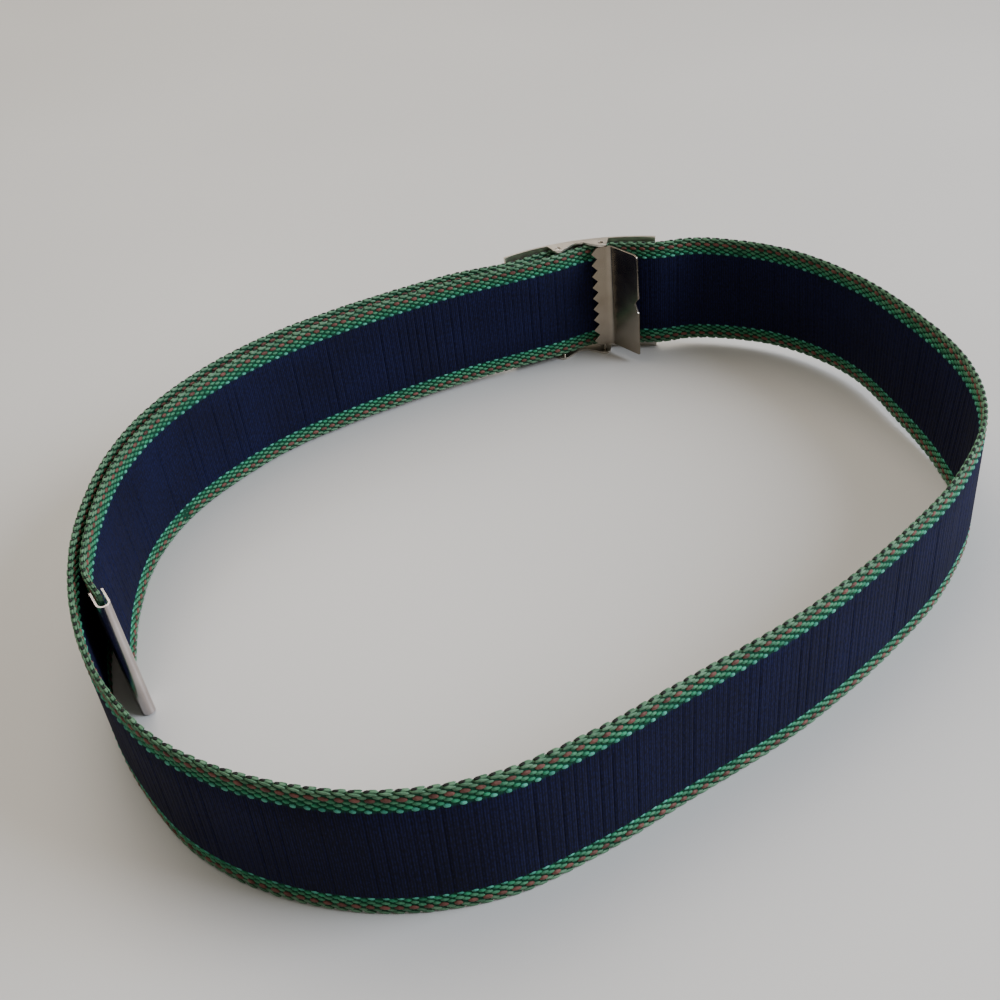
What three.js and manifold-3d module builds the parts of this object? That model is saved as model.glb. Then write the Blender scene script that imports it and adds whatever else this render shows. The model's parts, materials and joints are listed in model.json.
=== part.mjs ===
// Woven fabric belt with a cam buckle, standing on its edge as a closed loop.
// Millimetres, +Z up. The origin is the middle of the loop's footprint, on the surface it stands on.
// The buckle is at the back (+Y), its curved face outwards and its lever inside the loop.

import * as THREE from 'three';
import { mergeVertices } from 'three/addons/utils/BufferGeometryUtils.js';
import Module from 'manifold-3d';

const wasm = await Module();
wasm.setup();

// Driving dimensions
const strap = {
  width: 38,
  thickness: 1.9,
  edgeRound: 0.45,
  step: 4.2,
};

const buckle = {
  centreX: 32,
  faceY: 112.6,
  chord: 51.4,
  sagitta: 5,
  height: 41.4,
  sheet: 0.7,
  endFold: 0.3,
  pinSpacing: 14.5,
  pinDepth: 4.15,
};

const ear = {
  lobeRadius: 2.1,
  halfLength: 10.6,
  valleyDepth: 2.1,
};

const pin = {
  radius: 0.6,
  clearance: 0.3,
  endRecess: 0.1,
};

const lever = {
  sheet: 0.7,
  height: 36.9,
  base: 3.2,
  toothX: -3.6,
  toothY: -1,
  foldX: 2.8,
  foldY: -0.4,
  foldRadius: 1.6,
  flapLength: 13,
  flapAngle: -57,
  teeth: 9,
  toothDepth: 1.9,
  cornerRound: 1.6,
  notchWidth: 5,
  notchDepth: 1.5,
};

const tip = {
  wall: 0.5,
  gap: 0.3,
  hollow: 1.4,
  height: 37.9,
  skew: 1.2,
};

// The strap's upper edge seen from above, in the order that the strap runs.
// lift is how far its lower edge stands off the surface, because the taller buckle carries it there.
// foot is how far the lower edge stands in from the upper one, negative where it stands out.
// lap is how far inside this place the strap's free end passes on its second lap, 0 where it doesn't,
// and lapFoot is the foot of that second lap.
const place = (name, x, y, lift, foot, lap, lapFoot) => ({ name, x, y, lift, foot, lap, lapFoot });

const course = [
  place('fixed end behind the bar', 28.4, 110.55, 2.4, 0, 0, 0),
  place('behind the bar', 24.75, 110.25, 2.4, 0, 0, 0),
  place('under the plate', 19.0, 109.3, 2.4, 0, 0, 0),
  place('plate, left edge', 8.0, 105.55, 2.3, 0, 3, 0),
  place('back left', -10.1, 104.2, 1.9, 0.5, 4.5, 0.9),
  place('back left', -32.4, 98.7, 1.4, 1.5, 4.8, 1.9),
  place('back left', -53.6, 91.3, 1, 2, 4.9, 2.3),
  place('back left', -74.2, 81.4, 0.6, 2, 4.9, 2.2),
  place('left shoulder', -92.1, 67.7, 0.3, 2, 4.5, 2.4),
  place('left shoulder', -107.4, 49.2, 0, 1.4, 3.9, 1.8),
  place('left end', -116.9, 27.5, 0, 0.9, 3.3, 1.7),
  place('left end', -121.2, 4.2, 0, 0.3, 3, 2.6),
  place('left end', -121.8, -16.5, 0, 0, 2.9, 3.6),
  place('left end', -117.7, -43.2, 0, 0.7, 0, 0),
  place('left end', -109.2, -66.2, 0, 1.6, 0, 0),
  place('front left turn', -95.3, -86.6, 0, 0.9, 0, 0),
  place('front left turn', -75.6, -101.2, 0, 0, 0, 0),
  place('front left turn', -52.8, -109.8, 0, 0, 0, 0),
  place('front left turn', -29.2, -110.6, 0, 0, 0, 0),
  place('front', -7.6, -103.9, 0, 0, 0, 0),
  place('front', 11.8, -95.0, 0, 0, 0, 0),
  place('front', 46.6, -78.2, 0, 0, 0, 0),
  place('front', 80.9, -54.6, 0, 0, 0, 0),
  place('front right', 99.6, -37.6, 0, 0, 0, 0),
  place('right turn', 115.8, -14.9, 0, 0.4, 0, 0),
  place('right turn', 122.1, 10.4, 0.2, 3.2, 0, 0),
  place('right turn', 118.8, 37.6, 1.2, 1.6, 0, 0),
  place('right turn', 109.6, 65.6, 2.1, -2.6, 0, 0),
  place('back right', 93.5, 88.9, 2.6, -2.7, 0, 0),
  place('back right', 71.0, 103.8, 2.5, -0.4, 0, 0),
  place('plate, right edge', 57.2, 105.2, 2.4, 0, 0, 0),
  place('between plate and lever', 47.2, 108.6, 2.4, 0, 0, 0),
  place('outside the pivot', 39.25, 110.25, 2.4, 0, 0, 0),
  place('between plate and teeth', 34.6, 110.1, 2.4, 0, 0, 0),
  place('towards the bar', 30.4, 108.75, 2.4, 0, 0, 0),
  place('inside the bar', 24.2, 106.3, 2.4, 0, 0, 0),
];

const freeEnd = [
  place('second lap leaves the first', -118.0, -23.4, 0, 3.4, 0, 0),
  place('towards the tip', -116.3, -28.1, 0.1, 2.8, 0, 0),
  place('into the tip', -114.5, -31.6, 0.3, 2.3, 0, 0),
  place('free end', -112.1, -37.1, 0.4, 2.2, 0, 0),
];

// Small tools for meshes and outlines
const degrees = Math.PI / 180;

function solidOf(geometry) {
  const bare = geometry.index ? geometry.toNonIndexed() : geometry.clone();
  bare.deleteAttribute('normal');
  bare.deleteAttribute('uv');
  const merged = mergeVertices(bare, 1e-4);
  const mesh = new wasm.Mesh({
    numProp: 3,
    vertProperties: new Float32Array(merged.attributes.position.array),
    triVerts: new Uint32Array(merged.index.array),
  });
  mesh.merge();
  return new wasm.Manifold(mesh);
}

function geometryOf(solid) {
  const mesh = solid.getMesh();
  const geometry = new THREE.BufferGeometry();
  geometry.setAttribute('position', new THREE.BufferAttribute(new Float32Array(mesh.vertProperties), 3));
  geometry.setIndex(new THREE.BufferAttribute(new Uint32Array(mesh.triVerts), 1));
  geometry.computeVertexNormals();
  return geometry;
}

function plate3d(points, bottom, top) {
  const shape = new THREE.Shape(points);
  const geometry = new THREE.ExtrudeGeometry(shape, { depth: top - bottom, bevelEnabled: false });
  return geometry.translate(0, 0, bottom);
}

function uprightPin(x, y, radius, bottom, top) {
  const geometry = new THREE.CylinderGeometry(radius, radius, top - bottom, 16);
  return geometry.rotateX(90 * degrees).translate(x, y, (bottom + top) / 2);
}

function unitNormals(points) {
  return points.map((point, i) => {
    const before = points[Math.max(i - 1, 0)];
    const after = points[Math.min(i + 1, points.length - 1)];
    const along = new THREE.Vector2(after.x - before.x, after.y - before.y).normalize();
    return new THREE.Vector2(-along.y, along.x);
  });
}

function sideLine(points, offset) {
  const normals = unitNormals(points);
  return points.map((point, i) => new THREE.Vector2(
    point.x + normals[i].x * offset,
    point.y + normals[i].y * offset,
  ));
}

function band(points, halfThickness) {
  return [...sideLine(points, -halfThickness), ...sideLine(points, halfThickness).reverse()];
}

// The strap's route: the first lap, then the second lap inside it, then the free end
function secondLap() {
  const normals = unitNormals(course);
  return course
    .map((spot, i) => place(
      spot.name,
      spot.x + normals[i].x * spot.lap,
      spot.y + normals[i].y * spot.lap,
      spot.lift,
      spot.lapFoot,
      spot.lap,
      0,
    ))
    .filter((spot) => spot.lap > 0);
}

const spots = [...course, ...secondLap(), ...freeEnd];

function curveThrough(column) {
  const knots = spots.map((spot) => new THREE.Vector3(spot.x, spot.y, spot[column]));
  return new THREE.CatmullRomCurve3(knots, false, 'centripetal');
}

const route = curveThrough('lift');
const feet = curveThrough('foot');
const steps = Math.round(route.getLength() / strap.step);
route.arcLengthDivisions = 4 * steps;
route.updateArcLengths();
const centreLine = route.getSpacedPoints(steps);
const centreNormals = unitNormals(centreLine);
const centreFeet = centreLine.map((point, i) => feet.getPoint(route.getUtoTmapping(i / steps)).z);

function stationNear(x, y) {
  let best = 0;
  let least = Infinity;
  centreLine.forEach((point, i) => {
    const distance = (point.x - x) ** 2 + (point.y - y) ** 2;
    if (distance < least) {
      least = distance;
      best = i;
    }
  });
  return best;
}

// Leans an upright geometry as the strap leans beside it, and moves its lower edge back along the strap
function lean(geometry, height, back) {
  const position = geometry.attributes.position;
  for (let i = 0; i < position.count; i += 1) {
    const station = stationNear(position.getX(i), position.getY(i));
    const inwards = centreNormals[station];
    const share = 1 - position.getZ(i) / height;
    const foot = centreFeet[station];
    position.setX(i, position.getX(i) + (inwards.x * foot - inwards.y * back) * share);
    position.setY(i, position.getY(i) + (inwards.y * foot + inwards.x * back) * share);
    position.setZ(i, position.getZ(i) + Math.max(0, centreLine[station].z));
  }
  return geometry;
}

function makeStrap() {
  const shape = new THREE.Shape(band(centreLine, strap.thickness / 2));
  const geometry = new THREE.ExtrudeGeometry(shape, {
    depth: strap.width - 2 * strap.edgeRound,
    bevelEnabled: true,
    bevelThickness: strap.edgeRound,
    bevelSize: strap.edgeRound,
    bevelOffset: -strap.edgeRound,
    bevelSegments: 1,
  });
  geometry.translate(0, 0, strap.edgeRound);
  return lean(geometry, strap.width, 0);
}

// The buckle's plate: a curved sheet with an ear folded in at its top and its bottom
const faceRadius = (buckle.chord ** 2 / 4 + buckle.sagitta ** 2) / (2 * buckle.sagitta);
const faceCentreY = buckle.faceY - faceRadius;
const pinY = buckle.faceY - buckle.pinDepth;
const barX = buckle.centreX - buckle.pinSpacing / 2;
const pivotX = buckle.centreX + buckle.pinSpacing / 2;

function facePoint(along, radius) {
  const angle = Math.asin(along / faceRadius);
  return new THREE.Vector2(
    buckle.centreX + radius * Math.sin(angle),
    faceCentreY + radius * Math.cos(angle),
  );
}

function faceLine(from, to, radius, pieces) {
  const points = [];
  for (let i = 0; i <= pieces; i += 1) {
    points.push(facePoint(from + ((to - from) * i) / pieces, radius));
  }
  return points;
}

function plateOutline() {
  const half = buckle.chord / 2;
  const inside = faceRadius - buckle.sheet;
  const lip = inside - buckle.endFold;
  return [
    facePoint(-half, lip),
    facePoint(-half + buckle.sheet, lip),
    ...faceLine(-half + buckle.sheet, half - buckle.sheet, inside, 22),
    facePoint(half - buckle.sheet, lip),
    facePoint(half, lip),
    ...faceLine(half, -half, faceRadius, 24),
  ];
}

function earOutline() {
  const lobe = (x, start, end) => {
    const points = [];
    for (let i = 0; i <= 8; i += 1) {
      const angle = (start + ((end - start) * i) / 8) * degrees;
      points.push(new THREE.Vector2(x + ear.lobeRadius * Math.cos(angle), pinY + ear.lobeRadius * Math.sin(angle)));
    }
    return points;
  };
  const embed = faceRadius - buckle.sheet / 2;
  return [
    ...faceLine(ear.halfLength, -ear.halfLength, embed, 8),
    ...lobe(barX, 180, 320),
    new THREE.Vector2(buckle.centreX - 1.6, buckle.faceY - ear.valleyDepth),
    new THREE.Vector2(buckle.centreX + 1.6, buckle.faceY - ear.valleyDepth),
    ...lobe(pivotX, 220, 360),
  ];
}

function makePlate() {
  let plate = solidOf(plate3d(plateOutline(), 0, buckle.height));
  for (const bottom of [0, buckle.height - buckle.sheet]) {
    plate = plate.add(solidOf(plate3d(earOutline(), bottom, bottom + buckle.sheet)));
  }
  for (const x of [barX, pivotX]) {
    const hole = uprightPin(x, pinY, pin.radius + pin.clearance, -1, buckle.height + 1);
    plate = plate.subtract(solidOf(hole));
  }
  return geometryOf(plate);
}

function makeBar() {
  return uprightPin(barX, pinY, pin.radius, pin.endRecess, buckle.height - pin.endRecess);
}

// The cam lever: one bent sheet, with teeth on its short leg and a flap to push on the other. Its pin is on
// the short leg. Its points are worked out about the pivot, so the mesh is placed there.
const tooth = new THREE.Vector2(lever.toothX, lever.toothY);
const fold = new THREE.Vector2(lever.foldX, lever.foldY);
const legDirection = tooth.clone().sub(fold).angle();
const flapDirection = lever.flapAngle * degrees;

function fromFold(reach, direction) {
  return new THREE.Vector2(Math.cos(direction), Math.sin(direction)).multiplyScalar(reach).add(fold);
}

function leverLine() {
  const corner = new THREE.QuadraticBezierCurve(
    fromFold(lever.foldRadius, legDirection),
    fold,
    fromFold(lever.foldRadius, flapDirection),
  );
  return [tooth, ...corner.getPoints(6), fromFold(lever.flapLength, flapDirection)];
}

function wedge(points, thickness) {
  const shape = new THREE.Shape(points);
  const geometry = new THREE.ExtrudeGeometry(shape, { depth: thickness, bevelEnabled: false });
  return geometry.translate(0, 0, -thickness / 2);
}

// A cutter drawn in the plane of a leg: its x runs out along the leg from the fold, its y up the pivot's axis
function cutAlong(points, direction) {
  const geometry = wedge(points, 4);
  geometry.rotateX(90 * degrees);
  geometry.rotateZ(direction);
  geometry.translate(fold.x, fold.y, 0);
  return solidOf(geometry);
}

function makeLever() {
  const line = leverLine();
  const top = lever.base + lever.height;
  let sheet = solidOf(plate3d(band(line, lever.sheet / 2), lever.base, top));

  const pitch = lever.height / lever.teeth;
  const leg = tooth.distanceTo(fold);
  for (let i = 0; i <= lever.teeth; i += 1) {
    const level = lever.base + i * pitch;
    const gullet = [
      new THREE.Vector2(leg - lever.toothDepth, level),
      new THREE.Vector2(leg + 0.6, level - pitch * 0.62),
      new THREE.Vector2(leg + 0.6, level + pitch * 0.62),
    ];
    sheet = sheet.subtract(cutAlong(gullet, legDirection));
  }

  const reach = lever.flapLength;
  const round = lever.cornerRound;
  const over = 2;
  const middle = lever.base + lever.height * 0.5;
  const corners = [
    [
      new THREE.Vector2(reach - round, top + 0.01),
      new THREE.Vector2(reach - round * 0.3, top - round * 0.3),
      new THREE.Vector2(reach + 0.01, top - round),
      new THREE.Vector2(reach + over, top - round),
      new THREE.Vector2(reach + over, top + over),
      new THREE.Vector2(reach - round, top + over),
    ],
    [
      new THREE.Vector2(reach + over, middle + lever.notchWidth / 2 + over),
      new THREE.Vector2(reach - 0.4, middle + lever.notchWidth / 2 - 0.3),
      new THREE.Vector2(reach - lever.notchDepth, middle + lever.notchWidth * 0.12),
      new THREE.Vector2(reach - 0.4, middle - lever.notchWidth / 2 + 0.3),
      new THREE.Vector2(reach + over, middle - lever.notchWidth / 2 - over),
    ],
  ];
  for (const corner of corners) {
    sheet = sheet.subtract(cutAlong(corner, flapDirection));
  }

  const axle = uprightPin(0, 0, pin.radius, pin.endRecess, buckle.height - pin.endRecess);
  return geometryOf(sheet.add(solidOf(axle)));
}

// The belt's tip: a strip of sheet folded over the strap's last step, with a hollow past the end
function tipLine(offset) {
  const [start, end] = centreLine.slice(-2);
  const along = new THREE.Vector2(end.x - start.x, end.y - start.y).normalize();
  const turn = new THREE.Vector2(end.x + along.x * tip.hollow, end.y + along.y * tip.hollow);
  const heading = Math.atan2(along.y, along.x);
  const round = [];
  for (let i = 0; i <= 10; i += 1) {
    const angle = heading + (i / 10 - 0.5) * Math.PI;
    round.push(new THREE.Vector2(turn.x + offset * Math.cos(angle), turn.y + offset * Math.sin(angle)));
  }
  return [
    ...sideLine([start, end], -offset),
    ...round,
    ...sideLine([start, end], offset).reverse(),
  ];
}

function makeTip() {
  const inner = strap.thickness / 2 + tip.gap;
  const outline = [...tipLine(inner + tip.wall), ...tipLine(inner).reverse()];
  return lean(plate3d(outline, 0, tip.height), tip.height, tip.skew);
}

// Colours and finishes
const weave = new THREE.MeshStandardMaterial({ color: 0x1c204b, roughness: 0.9, metalness: 0 });
const nickel = new THREE.MeshStandardMaterial({ color: 0xc9c4ba, roughness: 0.22, metalness: 1 });

function addPiece(parent, name, geometry, material) {
  const mesh = new THREE.Mesh(geometry, material);
  mesh.name = name;
  parent.add(mesh);
  return mesh;
}

const belt = new THREE.Group();
belt.name = 'woven_fabric_belt';
addPiece(belt, 'strap', makeStrap(), weave);
addPiece(belt, 'buckle_plate', makePlate(), nickel);
addPiece(belt, 'strap_bar', makeBar(), nickel);
addPiece(belt, 'belt_tip', makeTip(), nickel);

const leverMount = new THREE.Group();
leverMount.position.set(pivotX, pinY, 0);
belt.add(leverMount);
addPiece(leverMount, 'cam_lever', makeLever(), nickel);

export default belt;
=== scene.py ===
"""A woven fabric belt with a cam buckle, standing on its edge. Metres, +Z up.

The webbing is modelled flat, one repeat of its pattern at a time, and then wrapped along the strap's route,
which is read from the CAD solid. The metal pieces are the CAD solids with their edges eased.
"""

import json
import math
from collections import namedtuple

import bmesh
import bpy
import numpy as np
from mathutils import Matrix, Vector

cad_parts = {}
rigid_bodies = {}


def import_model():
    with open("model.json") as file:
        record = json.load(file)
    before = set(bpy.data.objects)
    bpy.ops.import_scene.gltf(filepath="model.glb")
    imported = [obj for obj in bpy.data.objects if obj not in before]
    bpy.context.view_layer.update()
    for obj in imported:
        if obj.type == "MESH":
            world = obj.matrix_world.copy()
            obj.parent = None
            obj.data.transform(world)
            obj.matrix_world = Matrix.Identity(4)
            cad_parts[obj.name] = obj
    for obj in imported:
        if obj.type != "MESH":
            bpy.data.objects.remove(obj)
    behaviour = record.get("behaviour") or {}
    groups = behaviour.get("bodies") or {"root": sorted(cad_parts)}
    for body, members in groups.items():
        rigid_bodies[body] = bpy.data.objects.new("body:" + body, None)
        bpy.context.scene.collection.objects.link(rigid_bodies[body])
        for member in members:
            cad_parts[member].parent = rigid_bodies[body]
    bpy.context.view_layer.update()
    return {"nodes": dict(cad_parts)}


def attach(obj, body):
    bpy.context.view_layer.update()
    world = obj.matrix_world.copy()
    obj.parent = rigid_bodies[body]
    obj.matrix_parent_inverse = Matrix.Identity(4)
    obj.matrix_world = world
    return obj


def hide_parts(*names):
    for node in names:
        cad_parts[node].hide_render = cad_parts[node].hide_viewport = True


bpy.ops.object.select_all(action="SELECT")
bpy.ops.object.delete()
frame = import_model()

MM = 0.001
SEED = 38
WELD = 0.002 * MM

# The webbing: 38 mm wide, its pattern repeating about every 3.1 mm along the strap
WIDTH = 38 * MM
PITCH = 3.1 * MM
BORDER_WIDTH = 5.5 * MM
EDGE_INSET = 0.45 * MM
NAVY_HALF = 0.84 * MM
BORDER_HALF = 0.46 * MM
EDGE_HALF = 0.38 * MM
BODY_SMOOTH = math.radians(50)

# The CAD strap: the radius of its eased edges, and what counts as a face of its walls, which is one that
# is near enough to upright and larger than this
CAD_EASED_EDGE = 0.45 * MM
WALL_LEAN = 0.3
SMALLEST_WALL = 1 * MM * MM

# Weft ribs: a valley at each repeat and a fainter one half way, their reach as a share of the repeat
RIB_SAMPLES = 10
RIB_DEPTH = 0.2 * MM
RIB_REACH = 0.16
HALF_RIB_DEPTH = 0.09 * MM
HALF_RIB_REACH = 0.14
WEAKEST_RIB = 0.5
STRONGEST_RIB = 1.5
FINE_RIBS = 5

# Border yarns: from row to row the floats move back along the strap by a share of the repeat, and the
# first round of them starts this many repeats from the strap's end
TWILL_SHIFT = 0.44
ROW_SPACING = 0.8 * MM
FIRST_FLOAT = 1.35
SLANT = math.radians(8)
YARN_TWISTS = 3

# No two floats are quite alike: each is a little larger or smaller, and a little out of place
PLUMP_SPREAD = 0.05
JOSTLE = 0.035 * MM
JOSTLE_AXES = (1, 1, 0.6)

# A snag in the second lap's lower border, at the inside of the left shoulder: its yarns are worn thin
SNAG = np.array((-102.6, 42.5, 3.2)) * MM
SNAG_REACH = 2.8 * MM
SNAG_SIZE = 0.35

# Metal: the eased edge that tumbling leaves on stamped sheet, what counts as an edge or as flat, and how
# much rougher than the rest its rubbed patches are
STAMPED_EDGE = 0.1 * MM
SHARP = math.radians(35)
FLAT = math.radians(0.5)
RUBBED = 1.3

# The scale at which a wave texture has one band to a unit, with bands along X and with diagonal ones
BAND_ALONG_X = math.tau / 20
DIAGONAL_BAND = 0.628


# Small tools
def pick(*pieces):
    """Selects only these pieces; the first is the active one."""
    bpy.ops.object.select_all(action="DESELECT")
    for piece in pieces:
        piece.select_set(True)
    bpy.context.view_layer.objects.active = pieces[0]


def settle(piece):
    """Moves the piece's place into its mesh."""
    pick(piece)
    bpy.ops.object.transform_apply(location=True, rotation=True, scale=True)


def rename(piece, name):
    piece.name = name
    piece.data.name = name
    return piece


def join(name, pieces):
    pick(*pieces)
    bpy.ops.object.join()
    return rename(bpy.context.object, name)


def modify(piece, kind, **settings):
    """Adds a modifier with its settings and applies it."""
    pick(piece)
    bpy.ops.object.modifier_add(type=kind)
    modifier = piece.modifiers[-1]
    for key, value in settings.items():
        setattr(modifier, key, value)
    bpy.ops.object.modifier_apply(modifier=modifier.name)


def places(mesh):
    """The mesh's points as an array of rows."""
    flat = np.empty(len(mesh.vertices) * 3, np.float32)
    mesh.vertices.foreach_get("co", flat)
    return flat.reshape(-1, 3).astype(float)


def move_to(mesh, points):
    mesh.vertices.foreach_set("co", np.asarray(points, np.float32).ravel())
    mesh.update()


def lengths(vectors):
    """The length of each row, as a column."""
    return np.linalg.norm(vectors, axis=1)[:, None]


# Colours and nodes
def colour(text):
    """An sRGB hex colour as linear red, green, blue and alpha."""
    values = [int(text[i:i + 2], 16) / 255 for i in (1, 3, 5)]
    return (*[v / 12.92 if v <= 0.04045 else ((v + 0.055) / 1.055) ** 2.4 for v in values], 1)


def add_node(tree, kind, settings=None, inputs=None):
    """Adds a node with its settings. An input is a value, or another node's socket to link from."""
    made = tree.nodes.new(kind)
    for key, value in (settings or {}).items():
        setattr(made, key, value)
    for key, value in (inputs or {}).items():
        if isinstance(value, bpy.types.NodeSocket):
            tree.links.new(value, made.inputs[key])
        else:
            made.inputs[key].default_value = value
    return made


def object_place(tree):
    """Coordinates in metres that stay with the piece."""
    return add_node(tree, "ShaderNodeTexCoord").outputs["Object"]


def clouds(tree, vector, scale, detail=2.0, roughness=0.5):
    """Soft noise, with about as many spots to a unit as the scale says."""
    inputs = {"Vector": vector, "Scale": scale, "Detail": detail, "Roughness": roughness}
    return add_node(tree, "ShaderNodeTexNoise", inputs=inputs).outputs["Fac"]


def ramp(tree, factor, stops):
    """A colour ramp through (place, hex colour) stops."""
    made = add_node(tree, "ShaderNodeValToRGB", inputs={"Fac": factor})
    elements = made.color_ramp.elements
    while len(elements) < len(stops):
        elements.new(0.5)
    for element, (place, shade) in zip(elements, stops):
        element.position = place
        element.color = colour(shade)
    return made.outputs["Color"]


def calculate(tree, operation, *values):
    """One step of arithmetic on values or sockets."""
    inputs = dict(enumerate(values))
    return add_node(tree, "ShaderNodeMath", {"operation": operation}, inputs).outputs["Value"]


def map_range(tree, value, source, target=(0.0, 1.0), kind="LINEAR"):
    """Carries a value over from one range to another, and stops at its ends."""
    inputs = {
        "Value": value,
        "From Min": source[0],
        "From Max": source[1],
        "To Min": target[0],
        "To Max": target[1],
    }
    return add_node(tree, "ShaderNodeMapRange", {"interpolation_type": kind}, inputs).outputs["Result"]


def blend(tree, factor, first, second):
    """Mixes two colours, which are the node's inputs 6 and 7 and its output 2."""
    inputs = {"Factor": factor, 6: first, 7: second}
    return add_node(tree, "ShaderNodeMix", {"data_type": "RGBA"}, inputs).outputs[2]


def emboss(tree, shader, height, strength, depth):
    """Gives the shader a fine relief."""
    inputs = {"Height": height, "Strength": strength, "Distance": depth}
    bump = add_node(tree, "ShaderNodeBump", inputs=inputs)
    tree.links.new(bump.outputs["Normal"], shader.inputs["Normal"])


def start_material(name, **settings):
    """A material with one Principled shader, its constant settings put on the shader itself."""
    material = bpy.data.materials.new(name)
    material.use_nodes = True
    shader = material.node_tree.nodes["Principled BSDF"]
    for key, value in settings.items():
        shader.inputs[key.replace("_", " ")].default_value = value
    return material, material.node_tree, shader


# Polyester yarn in the webbing's borders, twisted and slightly shiny: each float has a soft highlight
def polyester_yarn(name, light, shade):
    material, tree, shader = start_material(name, Roughness=0.6, Specular_IOR_Level=0.3)
    # The dye varies about every 2.4 mm, so no two floats have quite the same shade
    dye = clouds(tree, object_place(tree), 420.0)
    tree.links.new(ramp(tree, dye, [(0.3, shade), (0.62, light)]), shader.inputs["Base Color"])
    # The yarn's twist goes a few times round each float
    float_round = add_node(tree, "ShaderNodeTexCoord").outputs["UV"]
    inputs = {"Vector": float_round, "Scale": DIAGONAL_BAND * YARN_TWISTS, "Distortion": 0.0}
    twist = add_node(tree, "ShaderNodeTexWave", {"bands_direction": "DIAGONAL"}, inputs)
    emboss(tree, shader, twist.outputs["Fac"], strength=0.5, depth=0.05 * MM)
    return material


# Woven polyester: matt navy ribs across the strap, with painted shade in their hollows, and the dark green
# ground between the border's yarns
def navy_webbing():
    material, tree, shader = start_material(
        "woven_navy_polyester", Roughness=0.8, Specular_IOR_Level=0.13
    )
    weave = add_node(tree, "ShaderNodeUVMap", {"uv_map": "weave"}).outputs["UV"]
    relief = fine_weave(tree, weave)
    # Uneven dye in clouds of about 20 mm
    dye = clouds(tree, object_place(tree), 45.0, detail=3.0)
    # Painted shade: the rib and yarn relief that makes the bump also darkens the navy in its hollows and
    # lightens it on the crests, on top of the uneven dye
    shade = calculate(tree, "MULTIPLY_ADD", dye, 0.3, relief)
    navy = ramp(tree, shade, [(0.45, "#07080f"), (0.8, "#090b23"), (1.0, "#13173d")])
    tree.links.new(beside_borders(tree, weave, navy), shader.inputs["Base Color"])
    emboss(tree, shader, relief, strength=0.6, depth=0.08 * MM)
    return material


def fine_weave(tree, weave):
    """Weft ribs a fifth of a repeat, or 0.6 mm, apart, which the warp breaks into single yarns."""
    inputs = {
        "Vector": weave,
        "Scale": BAND_ALONG_X * FINE_RIBS,
        "Distortion": 0.6,
        "Detail": 1.0,
        "Detail Scale": 2.0,
    }
    ribs = add_node(tree, "ShaderNodeTexWave", inputs=inputs).outputs["Fac"]
    stretched = add_node(tree, "ShaderNodeMapping", inputs={"Vector": weave, "Scale": (3.0, 0.45, 1.0)})
    single_yarns = clouds(tree, stretched.outputs["Vector"], 2.2, detail=3.0, roughness=0.6)
    return calculate(tree, "MULTIPLY_ADD", ribs, 0.28, single_yarns)


def beside_borders(tree, weave, navy):
    """The navy in the middle, and dark greens in the borders and at the edges; all in millimetres."""
    across = add_node(tree, "ShaderNodeSeparateXYZ", inputs={"Vector": weave}).outputs["Y"]
    half_width = WIDTH / MM / 2
    from_middle = calculate(tree, "ABSOLUTE", calculate(tree, "SUBTRACT", across, half_width))
    seam = (WIDTH / 2 - BORDER_WIDTH) / MM
    in_border = map_range(tree, from_middle, (seam - 0.5, seam + 0.5), kind="SMOOTHSTEP")
    at_edge = map_range(tree, from_middle, (half_width - 1.2, half_width - 0.8))
    greens = blend(tree, at_edge, colour("#103f2c"), colour("#243f2d"))
    return blend(tree, in_border, navy, greens)


# Nickel-plated steel sheet, stamped and tumbled: bright, a little warm, with faint rubbed patches
def nickel_plate(name, dull, bright, roughness):
    material, tree, shader = start_material(name, Metallic=1.0)
    where = object_place(tree)
    handling = clouds(tree, where, 90.0, roughness=0.6)
    tree.links.new(ramp(tree, handling, [(0.3, dull), (0.65, bright)]), shader.inputs["Base Color"])
    rubbed = map_range(tree, handling, (0.3, 0.7), (roughness, roughness * RUBBED))
    tree.links.new(rubbed, shader.inputs["Roughness"])
    # Rolled sheet is never quite flat: soft waves of some 8 mm bend its reflections
    waves = clouds(tree, where, 120.0, detail=1.0)
    emboss(tree, shader, waves, strength=0.15, depth=0.06 * MM)
    return material


# Painted table top, satin: pale grey, with a soft reflection under the belt
def painted_table():
    material, tree, shader = start_material("satin_painted_table", Roughness=0.42)
    shades = clouds(tree, object_place(tree), 3.0)
    tones = ramp(tree, shades, [(0.35, "#c4c2bd"), (0.65, "#cbc9c4")])
    tree.links.new(tones, shader.inputs["Base Color"])
    return material


# The strap's route, read from its CAD solid
def wall_middle(solid, upper):
    """The middle of each pair of corners across the top or the bottom of the strap's walls, in order."""
    wall = {f for f in solid.faces if abs(f.normal.z) < WALL_LEAN and f.calc_area() > SMALLEST_WALL}
    rim = [e for e in solid.edges if len(wall.intersection(e.link_faces)) == 1]
    rim = [e for e in rim if (e.verts[0].co.z > WIDTH / 2) == upper]
    beside = {}
    for edge in rim:
        first, second = edge.verts
        beside.setdefault(first, []).append(second)
        beside.setdefault(second, []).append(first)
    # The shortest edge is one end of the strap; the walk starts there and goes once round
    walk = list(min(rim, key=lambda e: e.calc_length()).verts)
    while len(walk) < len(rim):
        walk.append([v for v in beside[walk[-1]] if v is not walk[-2]][0])
    corners = np.array([v.co for v in walk[1:] + walk[:1]])
    half = len(corners) // 2
    middle = (corners[:half] + corners[half:][::-1]) / 2
    # The buckle is at the back, so the route starts at the end with the greater Y
    return middle if middle[0][1] > middle[-1][1] else middle[::-1]


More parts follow.
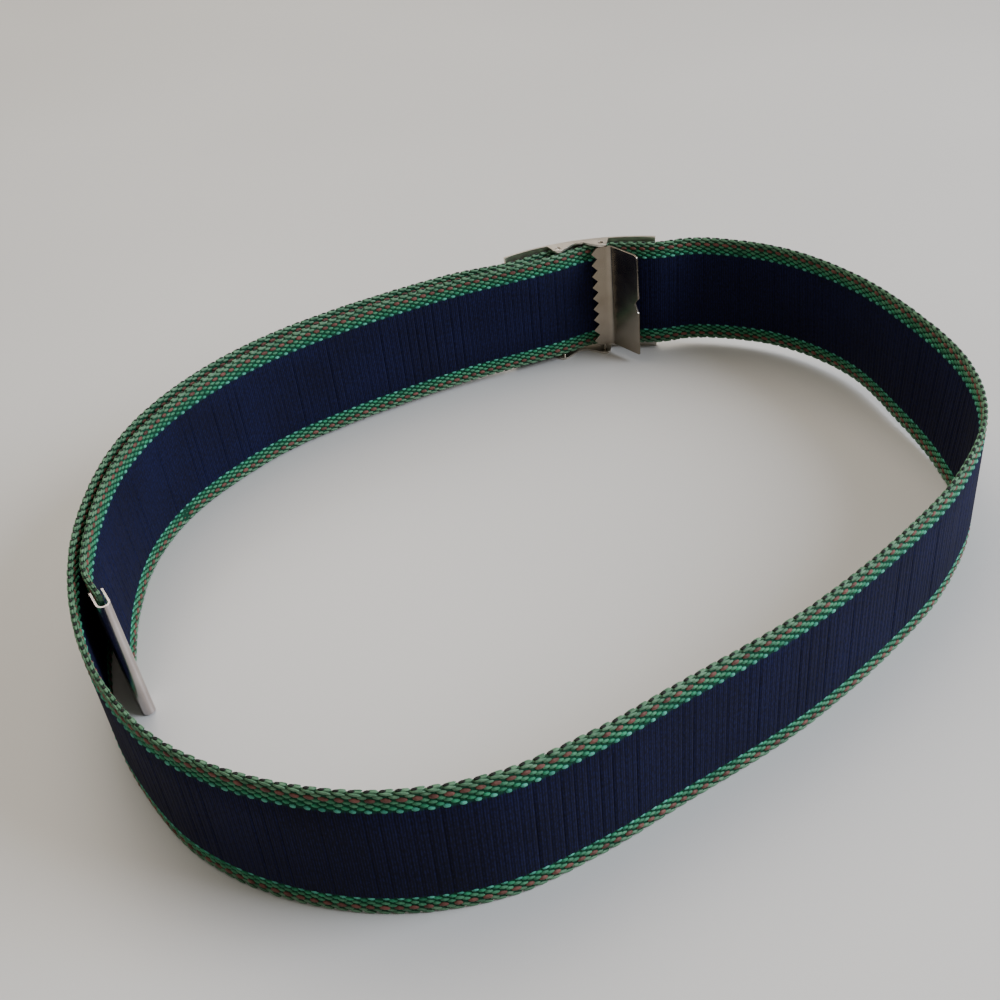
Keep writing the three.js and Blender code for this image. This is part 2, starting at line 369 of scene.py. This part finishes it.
def strap_route():
    """The strap's upper and lower edge at each station, and how far along the strap it is."""
    solid = bmesh.new()
    solid.from_mesh(frame["nodes"]["strap"].data)
    bmesh.ops.remove_doubles(solid, verts=solid.verts, dist=WELD)
    solid.normal_update()
    top, low = wall_middle(solid, True), wall_middle(solid, False)
    solid.free()
    # The walls end where the CAD solid's eased edges start
    eased = (top - low) * CAD_EASED_EDGE / (WIDTH - 2 * CAD_EASED_EDGE)
    steps = np.linalg.norm(np.diff((top + low) / 2, axis=0), axis=1)
    return top + eased, low - eased, np.concatenate([[0], np.cumsum(steps)])


TOP, LOW, RUN = strap_route()
LENGTH = RUN[-1]
ROUNDS = round(LENGTH / PITCH)
REPEAT = LENGTH / ROUNDS


def between(values, run):
    """Smooth values between the stations, as cubics with their neighbours' slopes."""
    i = np.clip(np.searchsorted(RUN, run) - 1, 0, len(RUN) - 2)
    slopes = np.gradient(values, RUN, axis=0)
    step = (RUN[i + 1] - RUN[i])[:, None]
    t = (run - RUN[i])[:, None] / step
    start = (2 * t**3 - 3 * t**2 + 1) * values[i] + (t**3 - 2 * t**2 + t) * step * slopes[i]
    return start + (3 * t**2 - 2 * t**3) * values[i + 1] + (t**3 - t**2) * step * slopes[i + 1]


def wrap(piece):
    """Bends a flat piece along the route: X along the strap, Y up its width, Z to the loop's inside."""
    flat = places(piece.data)
    run, across, out = flat[:, 0], flat[:, 1:2], flat[:, 2:]
    low, top = between(LOW, run), between(TOP, run)
    up = (top - low) / lengths(top - low)
    nearby = 0.1 * MM
    ahead = between(LOW + TOP, run + nearby) - between(LOW + TOP, run - nearby)
    inwards = np.cross(up, ahead)
    inwards /= lengths(inwards)
    move_to(piece.data, low + (top - low) * across / WIDTH + inwards * out)


# The strap's body: a navy middle between two thinner borders. Each corner of its section has a place
# across the width and half the thickness there; the list goes from the lower edge to the middle.
Corner = namedtuple("Corner", "across half")
LOWER_HALF = [
    Corner(EDGE_INSET, 0.0),
    Corner(EDGE_INSET + 0.08 * MM, EDGE_HALF),
    Corner(0.9 * MM, BORDER_HALF),
    Corner(BORDER_WIDTH - 0.6 * MM, BORDER_HALF),
    Corner(BORDER_WIDTH + 0.2 * MM, NAVY_HALF),
    Corner(WIDTH * 0.32, NAVY_HALF),
]
UPPER_HALF = [Corner(WIDTH - corner.across, corner.half) for corner in LOWER_HALF[::-1]]
INNER_FACE = [*LOWER_HALF, Corner(WIDTH * 0.5, NAVY_HALF), *UPPER_HALF]
OUTER_FACE = [Corner(corner.across, -corner.half) for corner in INNER_FACE[-2:0:-1]]
RING = np.array(INNER_FACE + OUTER_FACE)


def rib_relief(run):
    """How deep the valleys between the weft ribs are. Some are pulled tighter than others."""
    phase = (run / REPEAT) % 1
    from_repeat = np.minimum(phase, 1 - phase)
    from_half = np.abs(phase - 0.5)
    strengths = np.random.default_rng(SEED).uniform(WEAKEST_RIB, STRONGEST_RIB, ROUNDS + 2)
    strength = strengths[np.rint(run / REPEAT).astype(int)]
    valley = np.clip(1 - from_repeat / RIB_REACH, 0, 1) * RIB_DEPTH * strength
    return valley + np.clip(1 - from_half / HALF_RIB_REACH, 0, 1) * HALF_RIB_DEPTH


def make_body(material):
    """One flat grid, its columns along the strap and its rows round the section, wrapped into a tube."""
    bpy.ops.mesh.primitive_grid_add(
        x_subdivisions=ROUNDS * RIB_SAMPLES, y_subdivisions=len(RING), size=1, location=(0, 0, 0)
    )
    body = bpy.context.object
    # A new grid goes from -0.5 to 0.5 both ways
    grid = places(body.data) + 0.5
    run = grid[:, 0] * LENGTH
    station = np.rint(grid[:, 1] * len(RING)).astype(int) % len(RING)
    across, height = RING[station].T
    on_navy = np.abs(height) > NAVY_HALF - WELD
    height = height - np.sign(height) * np.where(on_navy, rib_relief(run), 0)
    move_to(body.data, np.column_stack([run, across, height]))
    lay_out_weave(body.data, run / REPEAT, across / MM)
    wrap(body)
    close_tube(body)
    body.data.materials.append(material)
    return rename(body, "webbing_body")


def lay_out_weave(mesh, repeats, across):
    """Texture coordinates: repeats along the strap, and millimetres across it."""
    layer = mesh.uv_layers[0]
    layer.name = "weave"
    corners = np.empty(len(mesh.loops), np.int32)
    mesh.loops.foreach_get("vertex_index", corners)
    weave = np.column_stack([repeats, across])[corners]
    layer.data.foreach_set("uv", weave.astype(np.float32).ravel())


def close_tube(body):
    """Welds the grid's long edges to each other and closes the tube's two ends."""
    pick(body)
    bpy.ops.object.mode_set(mode="EDIT")
    bpy.ops.mesh.select_all(action="SELECT")
    bpy.ops.mesh.remove_doubles(threshold=WELD)
    bpy.ops.mesh.select_all(action="DESELECT")
    bpy.ops.mesh.select_non_manifold()
    bpy.ops.mesh.edge_face_add()
    bpy.ops.mesh.select_all(action="SELECT")
    bpy.ops.mesh.normals_make_consistent(inside=False)
    bpy.ops.object.mode_set(mode="OBJECT")
    bpy.ops.object.shade_smooth_by_angle(angle=BODY_SMOOTH)


# The border's yarns, in millimetres: a row of floats for each warp yarn, from the edge inwards, and at the
# very edge a row of near-black ovals that are painted shade for the gaps between the edge's loops. The
# inset is from the strap's edge and the height from the middle of its thickness.
Row = namedtuple("Row", "inset height length width thick yarn")
FACE_ROWS = [
    Row(0.55, 0.5, 2.9, 0.78, 0.5, "sage"),
    Row(1.35, 0.46, 2.2, 0.9, 0.7, "sage"),
    Row(2.2, 0.54, 2.3, 1.2, 0.8, "brown"),
    Row(3.0, 0.46, 2.0, 0.9, 0.74, "pale_green"),
    Row(3.8, 0.48, 2.0, 0.88, 0.76, "pale_green"),
    Row(4.6, 0.5, 1.9, 0.9, 0.8, "mint"),
    Row(5.4, 0.6, 1.7, 0.94, 0.8, "mint_blue"),
]
EDGE_ROWS = [
    Row(0.4, 0.0, 3.7, 0.66, 0.9, "sage"),
    # Painted shade: near-black ovals in the gaps between the edge's sage loops, where the real edge is dark
    # only by shade
    Row(0.14, 0.0, 1.5, 0.42, 0.86, "gap_shade"),
]


def add_float(row, upper, sign, yarns):
    """One float: the stretch of a border yarn that lies on top, a plump oval along the strap."""
    across = WIDTH - row.inset * MM if upper else row.inset * MM
    turns = (TWILL_SHIFT * across / ROW_SPACING) % 1
    bpy.ops.mesh.primitive_uv_sphere_add(segments=8, ring_count=4, radius=0.5)
    piece = bpy.context.object
    piece.scale = (row.thick * MM, row.width * MM, row.length * MM)
    piece.rotation_euler = (0, math.pi / 2, SLANT * sign)
    piece.location = (REPEAT * (FIRST_FLOAT - turns), across, row.height * MM * sign)
    settle(piece)
    piece.data.materials.append(yarns[row.yarn])
    return piece


def each_float(border, points_each):
    """The border's points, float by float, and each float's centre."""
    points = places(border.data).reshape(-1, points_each, 3)
    return points, points.mean(axis=1, keepdims=True)


def make_border(name, rows, upper, sign, yarns, noise):
    """Repeats one round of floats along the strap, jostles each a little and wraps them."""
    floats = [add_float(row, upper, sign, yarns) for row in rows]
    points_each = len(floats[0].data.vertices)
    border = join(name, floats)
    modify(
        border,
        "ARRAY",
        count=ROUNDS - 1,
        use_relative_offset=False,
        use_constant_offset=True,
        constant_offset_displace=(REPEAT, 0, 0),
    )
    points, centres = each_float(border, points_each)
    plump = noise.normal(1, PLUMP_SPREAD, centres.shape)
    shift = noise.normal(0, JOSTLE, centres.shape) * JOSTLE_AXES
    move_to(border.data, (centres + (points - centres) * plump + shift).reshape(-1, 3))
    wrap(border)
    points, centres = each_float(border, points_each)
    snagged = np.linalg.norm(centres - SNAG, axis=2, keepdims=True) < SNAG_REACH
    size = np.where(snagged, SNAG_SIZE, 1)
    move_to(border.data, (centres + (points - centres) * size).reshape(-1, 3))
    pick(border)
    bpy.ops.object.shade_smooth()
    return border


def make_borders(yarns):
    noise = np.random.default_rng(SEED)
    borders = []
    for side, upper in (("upper", True), ("lower", False)):
        for face, sign in (("inner", 1), ("outer", -1)):
            name = f"{side}_border_{face}_yarns"
            borders.append(make_border(name, FACE_ROWS, upper, sign, yarns, noise))
        borders.append(make_border(f"{side}_edge_yarns_and_gap_shade", EDGE_ROWS, upper, 1, yarns, noise))
    return borders


# Metal: the CAD solids with their stamped edges eased and their curves smooth
def copy_solid(node, name):
    """A copy of a CAD solid that stands on its own, its triangles merged back into flat faces."""
    source = frame["nodes"][node]
    piece = source.copy()
    piece.data = source.data.copy()
    for key in list(piece.keys()):
        del piece[key]
    piece.parent = None
    bpy.context.scene.collection.objects.link(piece)
    pick(piece)
    bpy.ops.object.mode_set(mode="EDIT")
    bpy.ops.mesh.select_all(action="SELECT")
    bpy.ops.mesh.remove_doubles(threshold=WELD)
    bpy.ops.mesh.dissolve_limited(angle_limit=FLAT)
    bpy.ops.object.mode_set(mode="OBJECT")
    return rename(piece, name)


def finish_metal(node, name, material):
    piece = copy_solid(node, name)
    modify(
        piece,
        "BEVEL",
        width=STAMPED_EDGE,
        segments=2,
        limit_method="ANGLE",
        angle_limit=SHARP,
        use_clamp_overlap=True,
    )
    pick(piece)
    bpy.ops.object.shade_smooth_by_angle(angle=SHARP)
    # The flat faces keep their own direction, so that they mirror the strap without a bend
    modify(piece, "WEIGHTED_NORMAL", keep_sharp=True, weight=100)
    piece.data.materials.clear()
    piece.data.materials.append(material)
    return piece


# Build the pieces. Each yarn has its lit colour and its shade.
yarn_colours = {
    "sage": ("#5a7f60", "#365c41"),
    # Painted shade, not a yarn: the near-black of the gaps between the edge's loops
    "gap_shade": ("#08100b", "#020503"),
    "brown": ("#74483d", "#462a21"),
    "pale_green": ("#47835f", "#2b6747"),
    "mint": ("#2b8b61", "#13593c"),
    "mint_blue": ("#4c9f86", "#22705b"),
}
yarns = {name: polyester_yarn(f"twisted_{name}_yarn", *pair) for name, pair in yarn_colours.items()}

body = make_body(navy_webbing())
webbing = [body, *make_borders(yarns)]
for piece in webbing:
    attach(piece, "belt")
    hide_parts("strap")

plate_nickel = nickel_plate("tumbled_nickel_plate", "#c4bbad", "#d8d0c4", 0.3)
pin_nickel = nickel_plate("drawn_nickel_pin", "#c4bbad", "#d8d0c4", 0.2)
# Painted shade: the lever's nickel is painted darker than the plate's to stand in for the shade and dark
# reflections on its flap and teeth
lever_nickel_painted_darker = nickel_plate("nickel_lever_darkened_for_shade", "#847a6b", "#978d7f", 0.2)
tip_nickel = nickel_plate("worn_nickel_tip", "#b5aaa6", "#cbc2be", 0.2)
plate = finish_metal("buckle_plate", "curved_plate", plate_nickel)
bar = finish_metal("strap_bar", "fixed_bar", pin_nickel)
lever = finish_metal("cam_lever", "toothed_lever", lever_nickel_painted_darker)
tip = finish_metal("belt_tip", "folded_tip", tip_nickel)
for piece, node, rides, slot in (
    (plate, "buckle_plate", "belt", "nickel_plate"),
    (bar, "strap_bar", "belt", "nickel_plate"),
    (tip, "belt_tip", "belt", "nickel_tip"),
    (lever, "cam_lever", "lever", "nickel_lever"),
):
    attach(piece, rides)
    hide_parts(node)


# The table, the light and the camera
def make_table():
    bpy.ops.mesh.primitive_circle_add(vertices=96, radius=6, fill_type="NGON", location=(0, 0, 0))
    table = bpy.context.object
    table.name = "table_top"
    table.data.materials.append(painted_table())


def add_light(name, place, size, watts, shade):
    """A soft round light that faces the belt."""
    bpy.ops.object.light_add(type="AREA", location=place)
    light = bpy.context.object
    light.name = name
    light.data.shape = "DISK"
    light.data.size = size
    light.data.energy = watts
    light.data.color = colour(shade)[:3]
    light.rotation_euler = (-Vector(place)).to_track_quat("-Z", "Y").to_euler()


def make_light():
    """A cool window at the right, a warm ceiling, and a pale wall that brightens the metal's edges."""
    add_light("window", (1.1, -0.3, 0.7), size=0.9, watts=29, shade="#e6eeff")
    add_light("ceiling", (-0.2, 0.65, 1.5), size=1.6, watts=18, shade="#fff4e6")
    add_light("pale_wall", (-0.2, 1.3, 0.95), size=0.6, watts=3.5, shade="#fff8f0")
    world = bpy.context.scene.world or bpy.data.worlds.new("room")
    bpy.context.scene.world = world
    world.use_nodes = True
    background = world.node_tree.nodes["Background"]
    background.inputs["Color"].default_value = colour("#d9d6d0")
    background.inputs["Strength"].default_value = 0.53


def make_camera():
    """The photo's viewpoint: 36 degrees down, 5 degrees round from straight ahead, tilted by 6."""
    turn, down, roll = math.radians(5), math.radians(36.1), math.radians(-5.84)
    ahead = Vector((
        math.sin(turn) * math.cos(down),
        math.cos(turn) * math.cos(down),
        -math.sin(down),
    ))
    level = Vector((math.cos(turn), -math.sin(turn), 0))
    above = level.cross(ahead)
    right = math.cos(roll) * level + math.sin(roll) * above
    up = right.cross(ahead)
    bpy.ops.object.camera_add()
    camera = bpy.context.object
    camera.data.lens = 46.8
    camera.data.sensor_width = 36
    camera.data.clip_start = 0.01
    facing = Matrix((right, up, -ahead)).transposed().to_4x4()
    camera.matrix_world = Matrix.Translation((-0.0373, -0.2841, 0.2301)) @ facing
    bpy.context.scene.camera = camera


make_table()
make_light()
make_camera()
